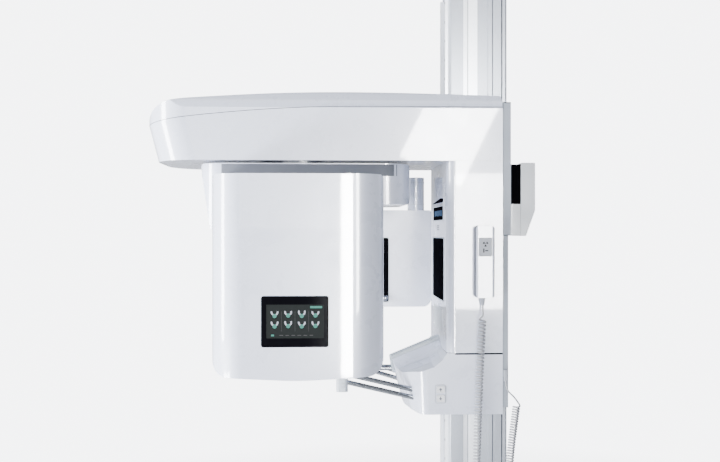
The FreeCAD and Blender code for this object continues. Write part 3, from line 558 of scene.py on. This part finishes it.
def add_screen():
    low, high = corners_of("screen_panel")
    face = low.y
    width, height = high.x - low.x, high.z - low.z
    cell_w, cell_h = width * TILE_STEP_U, height * TILE_STEP_V
    half_w, half_h = cell_w * TILE_HALF_U, cell_h * TILE_HALF_V

    tiles = bmesh.new()
    arches = bmesh.new()
    discs = bmesh.new()
    for row in range(2):
        for column in range(4):
            u = low.x + width * FIRST_TILE_U + column * cell_w
            v = low.z + height * (TOP_TILE_V - TILE_STEP_V * row)
            at = (u, face, v)
            slab(tiles, rounded(-half_w, half_w, -half_h, half_h, 2.0), "front", at, TILE_DEPTH)
            # open arch above a disc, a little different on each tile
            span = ARCH_SPAN + ARCH_SPAN_STEP * ((row + column) % 3)
            slab(arches, sector(ARCH_V, *ARCH_RADII, 20, 270 - span / 2, span), "front", at, SIGN_DEPTH)
            slab(discs, ring(0, DISC_V + column % 2, DISC_RADIUS, 20), "front", at, DISC_DEPTH)
    add_piece("screen_tiles", tiles, "rotor", "screen_image")
    paint(add_piece("screen_arches", arches, "rotor", "grey_trim", smooth=False), "key_grey")
    paint(add_piece("screen_discs", discs, "rotor", "screen_image", smooth=False), "teal_glow")

    bars = bmesh.new()
    slab(bars, rounded(-16, 16, -3, 3, 1.2), "front", (high.x - 21, face, high.z - 7), SIGN_DEPTH)
    slab(bars, rounded(-4, 4, -2.4, 2.4, 1.2), "front", (low.x + 17, face, low.z + 8), SIGN_DEPTH)
    paint(add_piece("screen_bars", bars, "rotor", "screen_image", smooth=False), "teal_glow")
    lines = bmesh.new()
    for column in range(1, 4):
        at = (low.x + width * FIRST_TILE_U + (column - 0.5) * cell_w, face, low.z + height * 0.5)
        slab(lines, rounded(-0.35, 0.35, -27, 27, 0.3, 2), "front", at, LINE_DEPTH)
    for dash in range(6):
        at = (low.x + 40 + dash * 16, face, low.z + 8)
        slab(lines, rounded(-5, 5, -0.9, 0.9, 0.6, 2), "front", at, LINE_DEPTH)
    paint(add_piece("screen_lines", lines, "rotor", "grey_trim", smooth=False), "line_grey")


add_screen()


# ---- keys and marks -------------------------------------------------------------
ARROW_HALF, ARROW_TIP, ARROW_FOOT, STEM_HALF = 5.0, 5.5, 1.0, 1.6
KEY_RIM = ((4, 6), (2.6, 4.6))    # (distance from the keys, corner radius), outside and inside
SIGN_V = 9                    # middle of the round sign on the exposure button
BAND_GROW = 0.35              # how far the dark band of painted shade stands off the hand switch's sides
BAND_BACK = 15.5              # from the hand switch's front to the band's middle
BAND_HALF = 12.0              # so the band reaches 2.5 mm past the body's back


def add_key_marks():
    for node, body, turn in (("lift_up_button", "up_key", 1), ("lift_down_button", "down_key", -1)):
        low, high = corners_of(node)
        at = ((low.x + high.x) / 2, low.y, (low.z + high.z) / 2)
        mark = bmesh.new()
        foot, tip = -ARROW_FOOT * turn, ARROW_TIP * turn
        slab(mark, [(-ARROW_HALF, foot), (ARROW_HALF, foot), (0, tip)][::turn], "front", at, MARK_DEPTH)
        stem = sorted((-tip, foot))
        slab(mark, rounded(-STEM_HALF, STEM_HALF, *stem, 0.5, 2), "front", at, MARK_DEPTH)
        paint(add_piece(node + "_mark", mark, body, "grey_trim", smooth=False), "shade_and_print_grey")
        paint(NODES[node], "light_grey")
    low = corners_of("lift_down_button")[0]
    high = corners_of("lift_up_button")[1]
    middle = ((low.x + high.x) / 2, -HALF_WIDTH, (low.z + high.z) / 2)
    half_u, half_v = (high.x - low.x) / 2, (high.z - low.z) / 2
    outer, inner = (rounded(-half_u - grow, half_u + grow, -half_v - grow, half_v + grow, radius)
                    for grow, radius in KEY_RIM)
    rim = bmesh.new()
    frame_band(rim, outer, inner, "front", middle, 0.5)
    paint(add_piece("key_frame", rim, "carriage", "grey_trim", smooth=False), "key_grey")


def add_handset_marks():
    low, high = corners_of("exposure_button")
    at = ((low.x + high.x) / 2, low.y, (low.z + high.z) / 2)
    marks = bmesh.new()
    for i in range(3):
        slab(marks, sector(SIGN_V, 2.6, 8.0, 6, 240 + 120 * i, 60), "front", at, MARK_DEPTH)
    slab(marks, ring(0, SIGN_V, 1.5, 12), "front", at, MARK_DEPTH)
    for bar in ((-7, -3, -16, -4), (-1, 8, -12, -8.6)):
        slab(marks, rounded(*bar, 0.8, 2), "front", at, MARK_DEPTH)
    paint(add_piece("exposure_marks", marks, "exposure_key", "black_trim", smooth=False), "dark_print")

    low, high = corners_of("handset_body")
    # painted shade: a dark band round the hand switch's sides
    band = bmesh.new()
    outline = rounded(low.x - BAND_GROW, high.x + BAND_GROW, low.z - BAND_GROW, high.z + BAND_GROW, 9)
    band_round(band, outline, "front", -(low.y + BAND_BACK), BAND_HALF, 0.0)
    paint(add_piece("handset_side_shade_band", band, "handset", "grey_trim"), "shade_and_print_grey")
    for node in ("exposure_button", "handset_strain_relief", "cord_clip"):
        paint(NODES[node], "key_grey")
    spots = [((low.x + high.x) / 2, high.y, z) for z in (low.z + 24, high.z - 24)]
    add_flat_screws("handset_screws", "handset", "back", spots, 3.2)


add_key_marks()
add_handset_marks()


# ---- seams between covers -------------------------------------------------------
CARRIAGE_SEAM_Z = 1143.6
NOSE_X = -990.0
NOSE_RADIUS = 125.0
NOSE_LEAN_Z = 1812.0          # the nose leans back below this height
NOSE_LEAN = 28.0 / 108.0
SEAM_SET_IN_Z = 1856.0        # above this height the seam is set in
SEAM_SET_IN = 0.4             # by this much for each millimetre
SIDE_STEPS, ARC_STEPS = 60, 20    # of the arm's seam, along a side and round a corner
# cuts across the rear trims: height, then places along x
TRIM_CUTS = ((1487.8, (SIDE_END_X + 1, 58, 66)), (1873.0, (SIDE_END_X + 1, 58, 66, 73)))
MIDDLE_Z = 1400               # a point between a long seam's ends
SEAM_LINE = [(-1010, 1806), (-955, 1817), (-820, 1834), (-655, 1849), (-480, 1858), (-300, 1860),
             (80, 1860)]


def seam_height(x):
    """Smooth height of the parting line between the arm's tray and its lid."""
    for i in range(len(SEAM_LINE) - 1):
        if x <= SEAM_LINE[i + 1][0]:
            break
    before = SEAM_LINE[max(i - 1, 0)]
    start, end = SEAM_LINE[i], SEAM_LINE[i + 1]
    after = SEAM_LINE[min(i + 2, len(SEAM_LINE) - 1)]
    t = (x - start[0]) / (end[0] - start[0])
    slope_in = (end[1] - before[1]) / (end[0] - before[0]) * (end[0] - start[0])
    slope_out = (after[1] - start[1]) / (after[0] - start[0]) * (end[0] - start[0])
    return ((2 * t**3 - 3 * t**2 + 1) * start[1] + (t**3 - 2 * t**2 + t) * slope_in
            + (3 * t**2 - 2 * t**3) * end[1] + (t**3 - t**2) * slope_out)


def band_path(x_end, x_front, radius, half_width, arc_steps=8):
    """Line round a cover with two round corners towards the patient, seen from above."""
    path = [(x_end, -half_width)]
    normals = [Vector((0, -1, 0))]
    for side in (-1, 1):
        for i in range(arc_steps + 1):
            angle = math.radians(90.0 * i / arc_steps)
            if side > 0:
                angle = math.radians(90) - angle
            out = Vector((-math.sin(angle), side * math.cos(angle), 0))
            path.append((x_front + radius + out.x * radius, side * (half_width - radius) + out.y * radius))
            normals.append(out)
    path.append((x_end, half_width))
    normals.append(Vector((0, 1, 0)))
    return path, normals


def add_arm_seam():
    turn_x = NOSE_X + NOSE_RADIUS
    near = [(SIDE_END_X - 1 + (turn_x - SIDE_END_X) * i / SIDE_STEPS, -HALF_WIDTH)
            for i in range(SIDE_STEPS)]
    nose, nose_normals = band_path(SIDE_END_X, NOSE_X, NOSE_RADIUS, HALF_WIDTH, ARC_STEPS)
    far = [(turn_x + (SIDE_END_X - 1 - turn_x) * (i + 1) / SIDE_STEPS, HALF_WIDTH)
           for i in range(SIDE_STEPS)]
    normals = nose_normals[:1] * SIDE_STEPS + nose_normals[1:-1] + nose_normals[-1:] * SIDE_STEPS
    spots = []
    for (x, y), out in zip(near + nose[1:-1] + far, normals):
        z = seam_height(x)
        lean = max(0.0, NOSE_LEAN_Z - z) * NOSE_LEAN * max(0.0, -out.x)
        sunk = lean + max(0.0, z - SEAM_SET_IN_Z) * SEAM_SET_IN
        spots.append(Vector((x, y, z)) - out * sunk)
    bm = bmesh.new()
    ribbon(bm, spots, normals, 0.75, 0.25)
    add_piece("arm_seam", bm, "carriage", "black_trim")


def add_carriage_seams():
    path, normals = band_path(SIDE_END_X - 0.5, FRONT_X, 24.0, HALF_WIDTH)
    bm = bmesh.new()
    ribbon(bm, [Vector((x, y, CARRIAGE_SEAM_Z)) for x, y in path], normals, 2.3, 0.2)
    add_piece("carriage_seam", bm, "carriage", "black_trim")
    trims = bmesh.new()
    low, high = corners_of("rear_trims")
    for side in (-1, 1):
        out = Vector((0, side, 0))
        line = [Vector((SIDE_END_X + 0.2, side * (HALF_WIDTH - 0.4), z)) for z in (low.z, MIDDLE_Z, high.z)]
        ribbon(trims, line, [out] * 3, 0.6, 0.15)
        for z, places in TRIM_CUTS:
            cut = [Vector((x, side * (HALF_WIDTH - 1), z)) for x in places]
            ribbon(trims, cut, [out] * len(cut), 0.9, 0.15)
    add_piece("trim_seams", trims, "carriage", "black_trim")


def add_housing_seam():
    low, high = corners_of("tube_housing_back")
    bm = bmesh.new()
    for x, way in ((low.x, -1), (high.x, 1)):
        path = [Vector((x, low.y - 0.2, z)) for z in (high.z - 8, MIDDLE_Z, low.z + 60)]
        ribbon(bm, path, [Vector((way, 0, 0))] * 3, 0.7, 0.2)
    add_piece("housing_seam", bm, "rotor", "black_trim")


add_arm_seam()
add_carriage_seams()
add_housing_seam()


# ---- fasteners ------------------------------------------------------------------
ANCHOR_REACH = 105            # from the column's middle, both ways
BRACKET_BOLT_Y, BRACKET_BOLT_HEIGHTS = 80, (1590.0, 1680.0)
BOLT_SEAT = 14.2              # from the wall to the bolt heads, in the bracket's counterbores
CAP_SCREW_X = 62
SENSOR_EDGE = 22              # from the sensor cover's edges to its screws
HOUSING_EDGE = 34             # from the housing's side edges to its screws
RAIL_Y, RAIL_SCREWS = 52, 30    # each rail's place and its number of screws
RAIL_END = 30                 # from a rail's end to its first screw


def add_screws():
    foot_high = corners_of("foot_plate")[1]
    anchors = bmesh.new()
    for sx in (-1, 1):
        for sy in (-1, 1):
            socket_screw(anchors, "top", (sx * ANCHOR_REACH, sy * ANCHOR_REACH, foot_high.z), 8, 12)
    add_piece("foot_anchors", anchors, "column", "machined_steel")

    wall = bmesh.new()
    seat_x = corners_of("wall_bracket")[1].x - BOLT_SEAT
    for sy in (-1, 1):
        for z in BRACKET_BOLT_HEIGHTS:
            socket_screw(wall, "patient", (seat_x, sy * BRACKET_BOLT_Y, z), 6.2, 8)
    add_piece("bracket_bolts", wall, "column", "machined_steel")

    top = corners_of("column_cap")[1]
    spots = [(sx * CAP_SCREW_X, 0, top.z - 1.75) for sx in (-1, 1)]
    add_flat_screws("cap_screws", "column", "top", spots, 4.5)

    low, high = corners_of("sensor_cover_back")
    spots = [(x, high.y - 1.5, z) for x in (low.x + SENSOR_EDGE, high.x - SENSOR_EDGE)
             for z in (low.z + SENSOR_EDGE, high.z - SENSOR_EDGE)]
    add_flat_screws("sensor_screws", "rotor", "back", spots, 4.2)

    low, high = corners_of("tube_housing_back")
    spots = [(x, high.y, z) for x in (low.x + HOUSING_EDGE, high.x - HOUSING_EDGE)
             for z in (low.z + 60, (low.z + high.z) / 2, high.z - 40)]
    add_flat_screws("housing_screws", "rotor", "back", spots, 4.2)

    rails = bmesh.new()
    low, high = corners_of("lift_rails")
    for side in (-1, 1):
        for i in range(RAIL_SCREWS):
            z = low.z + RAIL_END + i * (high.z - low.z - 2 * RAIL_END) / (RAIL_SCREWS - 1)
            lathe(rails, [(4.2, -0.2), (4.2, 0.25), (3.6, 0.3), (2.4, 0.3)], "patient",
                  (low.x, side * RAIL_Y, z), 16)
    add_piece("rail_screws", rails, "column", "black_trim")


add_screws()


# ---- positioning-light panel ----------------------------------------------------
PANEL_FACE_Y, PANEL_BACK_Y = 203.0, 245
SLOT = (-276.0, -252.0, 1262.0, 1477.0)      # x from and to, z from and to
PANEL_SCREWS = ((-268, -140), (1262, 1552))
POST_AT, POST_RING_HEIGHTS, POST_RING_RADIUS = (-158, 224), (1590, 1664), 28.5


def slot_outline(grow, radius):
    return rounded(SLOT[0] - grow, SLOT[1] + grow, SLOT[2] - grow, SLOT[3] + grow, radius)


def add_panel_details():
    at = (0, PANEL_FACE_Y, 0)
    liner = bmesh.new()
    slab(liner, slot_outline(1.5, 6), "front", (0, PANEL_FACE_Y + 5.2, 0), 1.2)
    add_piece("slot_liner", liner, "carriage", "black_trim", smooth=False)
    rim = bmesh.new()
    frame_band(rim, slot_outline(2, 8), slot_outline(0, 6), "front", at, 0.6)
    add_piece("slot_rim", rim, "carriage", "grey_trim", smooth=False)
    scale = bmesh.new()
    for i in range(21):
        length = 9.0 if i % 5 == 0 else 5.0
        z = SLOT[2] + 8 + i * 10
        dash = rounded(SLOT[1] + 6, SLOT[1] + 6 + length, z - 0.5, z + 0.5, 0.4, 2)
        slab(scale, dash, "front", at, MARK_DEPTH)
    add_piece("slot_scale", scale, "carriage", "grey_trim", smooth=False)
    spots = [(x, PANEL_BACK_Y, z) for x in PANEL_SCREWS[0] for z in PANEL_SCREWS[1]]
    add_flat_screws("panel_screws", "carriage", "back", spots, 3.6)
    post = bmesh.new()
    for z in POST_RING_HEIGHTS:
        lathe(post, [(POST_RING_RADIUS, -1.0), (POST_RING_RADIUS, 1.0)], "top", (*POST_AT, z), 48)
    add_piece("post_rings", post, "carriage", "grey_trim")
    lens = bmesh.new()
    low, high = corners_of("level_light")
    lathe(lens, [(3.4, -2.0), (3.4, 0.6), (2.6, 1.2), (1.2, 1.5)], "front",
          (low.x + 34, low.y, (low.z + high.z) / 2), 20)
    add_piece("light_lens", lens, "level_light", "black_glass")


# ---- display and mirror ---------------------------------------------------------
TILE_COUNT, FIRST_TILE_Y, TILE_STEP_Y = 7, -72, 24
WINDOW_RIMS = (("status_display", 3.0), ("face_mirror", 4.0))    # how far each rim reaches out
LASER_WEDGE = [(-128, 1587), (108, 1587), (114, 1591), (114, 1598), (60, 1600), (-128, 1589)]
SERVICE_COVER = (-92, 92, 1196, 1268)
SERVICE_EDGE = 8              # from the service cover's edges to its screws
SPEAKER_Z, HOLE_STEP = 1510, 6.0


def add_face_details():
    low, high = corners_of("status_display")
    bars = bmesh.new()
    middle = (low.z + high.z) / 2
    for i in range(TILE_COUNT):
        at = (low.x, FIRST_TILE_Y + i * TILE_STEP_Y, middle)
        slab(bars, rounded(-8, 8, -9 + i % 3, 9, 1.5, 3), "patient", at, MARK_DEPTH)
    paint(add_piece("display_tiles", bars, "carriage", "screen_image", smooth=False), "blue_glow")
    paint(NODES["status_display"], "mirror_glass")
    paint(NODES["face_mirror"], "mirror_glass")
    for node, grow in WINDOW_RIMS:
        low, high = corners_of(node)
        outer = rounded(low.y - grow, high.y + grow, low.z - grow, high.z + grow, 9)
        inner = rounded(low.y - 0.2, high.y + 0.2, low.z - 0.2, high.z + 0.2, 5.8)
        bm = bmesh.new()
        frame_band(bm, outer, inner, "patient", (low.x, 0, 0), 0.8)
        add_piece(node + "_rim", bm, "carriage", "grey_trim", smooth=False)
    eye = bmesh.new()
    slab(eye, LASER_WEDGE, "patient", (FRONT_X, 0, 0), 0.6, 0.3)
    paint(add_piece("laser_window", eye, "carriage", "black_glass"), "mirror_glass")
    lower = bmesh.new()
    slab(lower, rounded(*SERVICE_COVER, 8), "patient", (FRONT_X, 0, 0), 1.0, 0.5)
    paint(add_piece("service_cover", lower, "carriage", "grey_trim"), "painted_steel")
    left, right, foot, top = SERVICE_COVER
    spots = [(FRONT_X - 1.0, y, z) for y in (left + SERVICE_EDGE, right - SERVICE_EDGE)
             for z in (foot + SERVICE_EDGE, top - SERVICE_EDGE)]
    add_flat_screws("service_screws", "carriage", "patient", spots, 3.0)
    speaker = bmesh.new()
    for i in range(-4, 5):
        for k in range(-1, 2):
            lathe(speaker, [(1.6, 0), (1.6, 0.25), (1.1, 0.3)], "patient",
                  (FRONT_X, i * HOLE_STEP, SPEAKER_Z + k * HOLE_STEP), 12)
    add_piece("speaker_holes", speaker, "carriage", "black_trim", smooth=False)


# ---- column and grips -----------------------------------------------------------
# (x, half width, how deep its back lies) of what lines the column's channels and recesses: dark strips of
# painted shade in the channels and pale panels of painted highlight in the recesses
SHADE_STRIPS = ((43.5, 1.3, 2.6), (72.0, 1.8, 5.4))
HIGHLIGHT_PANELS = ((-38.5, 6.9, 11.4), (-16.0, 14.0, 5.4))
BRUSH_Y = 19.5


def add_column_details():
    low, high = corners_of("column_profile")
    strips = bmesh.new()
    panels = bmesh.new()
    for side, facing in ((-1, "front"), (1, "back")):
        for x, half, sunk in SHADE_STRIPS:
            outline = rounded(-half, half, low.z + 1, high.z - 1, 0.6, 2)
            slab(strips, outline, facing, (x, side * (high.y - sunk), 0), 0.8)
        # mirrored on the back face, where the column's recesses are not: this is a fault
        for x, half, sunk in HIGHLIGHT_PANELS:
            outline = rounded(-half, half, low.z + 1, high.z - 1, 0.6, 2)
            slab(panels, outline, facing, (-side * x, side * (high.y - sunk), 0), 0.8, 0.3)
    # the channel strips are painted shade
    paint(add_piece("column_channel_shade_strips", strips, "column", "black_trim", smooth=False), "shade_and_print_grey")
    paint(NODES["rear_trims"], "trim_grey")
    paint(NODES["lift_rails"], "pale_and_highlight_metal")
    # the recess panels carry a painted highlight: a pale stripe down the column
    paint(add_piece("column_recess_highlight_panels", panels, "column", "column_metal"), "pale_and_highlight_metal")
    brush = bmesh.new()
    for side in (-1, 1):
        slab(brush, rounded(-3.0, 3.0, low.z + 470, high.z - 20, 0.6, 2), "patient",
             (low.x + 3, side * BRUSH_Y, 0), 2.0)
    add_piece("slot_brushes", brush, "column", "black_trim", smooth=False)


def add_grip_details():
    low, high = corners_of("grip_ends")
    rings = bmesh.new()
    for side in (-1, 1):
        facing = "front" if side < 0 else "back"
        y = low.y if side < 0 else high.y
        lathe(rings, [(8.0, -0.5), (8.0, 0.4), (6.5, 0.9), (3.0, 1.0)], facing,
              ((low.x + high.x) / 2, y, low.z + 20), 28)
    add_piece("grip_badges", rings, "carriage", "grey_trim")
    top = corners_of("chin_rest_support")[1].z
    add_flat_screws("chin_rest_screws", "carriage", "top", [(-445, y, top) for y in (-20, 20)], 3.4)


# ---- inside and under the arm ---------------------------------------------------
COVER_BAND_Z, COVER_BAND_HALF = 1678.0, 17.0
HUB_BOLTS, HUB_BOLT_RADIUS = 8, 50
VENTS, VENT_STEP = 9, 9


def add_cover_band():
    """Dark shadow band round the top of the rotor's cover, right under the arm."""
    low, high = corners_of("rotor_cover")
    bm = bmesh.new()
    band_round(bm, rounded(low.x, high.x, low.y, high.y, 80, 10), "top", COVER_BAND_Z, COVER_BAND_HALF, 0.5)
    paint(add_piece("cover_band", bm, "rotor", "grey_trim"), "shade_and_print_grey")


def add_inner_details():
    low, high = corners_of("rotor_hub")
    middle = (low + high) / 2
    bolts = bmesh.new()
    for i in range(HUB_BOLTS):
        angle = math.tau * (i + 0.5) / HUB_BOLTS
        at = (middle.x + HUB_BOLT_RADIUS * math.cos(angle), middle.y + HUB_BOLT_RADIUS * math.sin(angle))
        socket_screw(bolts, "under", (*at, low.z), 3.0, 4)
    add_piece("hub_bolts", bolts, "rotor", "machined_steel")
    vents = bmesh.new()
    low, high = corners_of("tube_housing_back")
    for i in range(VENTS):
        z = low.z + 90 + i * VENT_STEP
        slab(vents, rounded(-46, 46, z - 2, z + 2, 1.9, 4), "back", ((low.x + high.x) / 2, high.y, 0), 0.3)
    add_piece("housing_vents", vents, "rotor", "black_trim", smooth=False)
    chips = bmesh.new()
    low, high = corners_of("sensor_board")
    for row in range(5):
        for column in range(3):
            at = (low.x + 30 + column * 38, low.y, low.z + 26 + row * 36)
            slab(chips, rounded(-9 + row % 2, 9, -7, 7 - column, 0.8, 2), "front", at, 2.2, 0.3)
    add_piece("sensor_chips", chips, "rotor", "black_trim", smooth=False)


add_panel_details()
add_face_details()
add_column_details()
add_grip_details()
add_cover_band()
add_inner_details()


# ---- stage and light ------------------------------------------------------------
FLOOR_RADIUS = 9.0
FLOOR_FADE = (0.9, 3.4)       # the floor fades into the backdrop between these distances


def add_floor():
    bpy.ops.mesh.primitive_circle_add(vertices=96, radius=FLOOR_RADIUS, fill_type="NGON", location=(0, 0, 0))
    floor = bpy.context.object
    floor.name = "floor"
    g = Graph("floor")
    g.tint(g.noise(2.0), (0.3, (0.80, 0.81, 0.83)), (0.7, (0.83, 0.84, 0.86)))
    g.set(Roughness=0.9)
    distance = g.node("ShaderNodeVectorMath", operation="LENGTH")
    g.link(g.place, distance.inputs[0])
    g.link(g.map_range(distance.outputs["Value"], FLOOR_FADE, (1.0, 0.0)), g.shader.inputs["Alpha"])
    floor.data.materials.append(g.material)


WORLD_TINT = (0.955, 0.968, 1.0)
BACKDROP_STRENGTH = 6.5
ROOM_STRENGTH = 4.0
# how bright the room is from the patient's side to the wall's: (place, part of the strength)
ROOM_SIDES = ((0.0, 1.0), (0.2, 0.46), (0.42, 0.195), (0.98, 0.19))


def add_world():
    """Pale studio: the backdrop is brighter than the room, which is darker towards the wall."""
    world = bpy.data.worlds.new("studio")
    bpy.context.scene.world = world
    world.use_nodes = True
    nodes, links = world.node_tree.nodes, world.node_tree.links
    room = nodes["Background"]
    room.inputs["Strength"].default_value = ROOM_STRENGTH
    place = nodes.new("ShaderNodeTexCoord")
    parts = nodes.new("ShaderNodeSeparateXYZ")
    along = nodes.new("ShaderNodeMapRange")
    along.inputs["From Min"].default_value = -1.0
    sides = nodes.new("ShaderNodeValToRGB")
    set_stops(sides, [(spot, shade(WORLD_TINT, part)) for spot, part in ROOM_SIDES])
    links.new(place.outputs["Generated"], parts.inputs[0])
    links.new(parts.outputs["X"], along.inputs["Value"])
    links.new(along.outputs["Result"], sides.inputs["Fac"])
    links.new(sides.outputs["Color"], room.inputs["Color"])
    backdrop = nodes.new("ShaderNodeBackground")
    backdrop.inputs["Color"].default_value = (*WORLD_TINT, 1)
    backdrop.inputs["Strength"].default_value = BACKDROP_STRENGTH
    seen = nodes.new("ShaderNodeLightPath")
    mix = nodes.new("ShaderNodeMixShader")
    links.new(seen.outputs["Is Camera Ray"], mix.inputs["Fac"])
    links.new(room.outputs["Background"], mix.inputs[1])
    links.new(backdrop.outputs["Background"], mix.inputs[2])
    links.new(mix.outputs["Shader"], nodes["World Output"].inputs["Surface"])


def add_light(name, at, look, size, power, turn=0.0, diffuse=True):
    """Lamp with a rectangular face. One that isn't diffuse shows only as a reflection."""
    data = bpy.data.lights.new(name, "AREA")
    data.shape = "RECTANGLE"
    data.size, data.size_y = size
    data.energy = power
    light = bpy.data.objects.new(name, data)
    aim = (Vector(look) - Vector(at)).to_track_quat("-Z", "Y").to_matrix().to_4x4()
    light.matrix_world = Matrix.Translation(at) @ aim @ Matrix.Rotation(turn, 4, "Z")
    light.visible_diffuse = diffuse
    bpy.context.scene.collection.objects.link(light)


add_floor()
add_world()
add_light("top", (-0.4, -0.6, 4.2), (-0.4, 0, 1.5), (2.6, 1.8), 30)
add_light("low_left", (-2.4, -1.3, 0.55), (-0.25, -0.1, 1.05), (0.9, 0.5), 125)
add_light("left_key", (-3.7, -0.95, 1.8), (-0.5, 0, 1.4), (0.7, 2.0), 340)
add_light("tall_strip", (-0.316, -2.70, 1.26), (-0.316, 0, 1.26), (0.12, 1.10), 120, diffuse=False)
add_light("front_fill", (-0.5, -3.4, 2.2), (-0.4, 0, 1.5), (2.0, 1.4), 45)
add_light("slanted_box", (0.285, -2.72, 2.12), (0.285, 0, 2.12), (0.40, 0.60), 85,
          turn=math.radians(-26), diffuse=False)
add_light("side_box", (0.46, -2.74, 1.44), (0.46, 0, 1.44), (0.46, 0.80), 100, diffuse=False)
